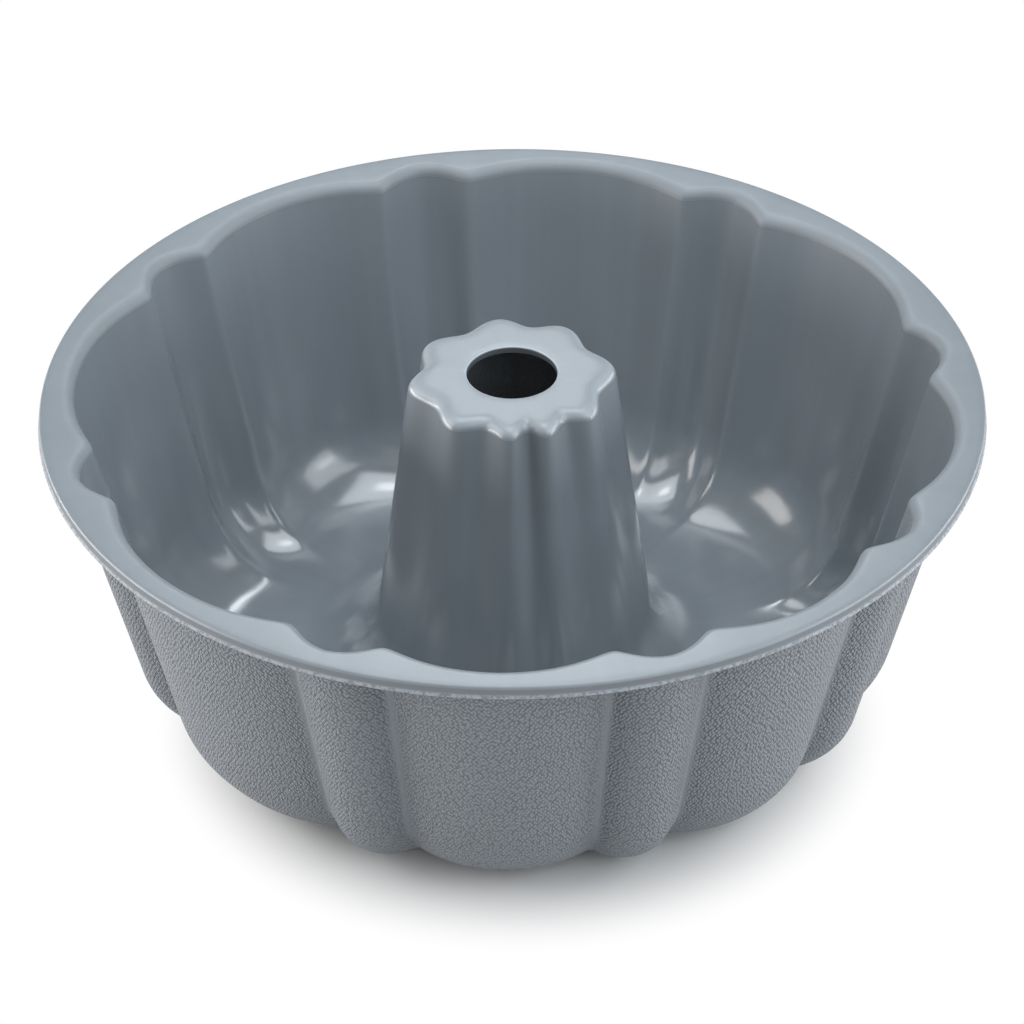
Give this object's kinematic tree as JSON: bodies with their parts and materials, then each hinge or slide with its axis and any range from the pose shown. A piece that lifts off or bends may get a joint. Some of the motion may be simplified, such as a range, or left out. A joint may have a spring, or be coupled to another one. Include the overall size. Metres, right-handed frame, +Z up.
{
  "type": "fluted tube pan",
  "caption": "Round flexible baking pan with a fluted wall, flat rim flange and a scalloped hollow centre tube, stiffened by a steel ring inside the rim.",
  "frame": {"origin": "on the table, in the middle of the flat underside, under the centre tube", "axes": "+Z up along the centre tube; -Y towards the viewer of the picture, +X to the right"},
  "size_m": [0.244, 0.2439, 0.0953],
  "materials": {
    "silicone": "satin inside and on the rim, fine pebble grain on the outside of the wall",
    "steel": "drawn wire"
  },
  "bodies": {
    "root": {"pan_body": "silicone", "rim_ring": "steel"}
  },
  "joints": []
}
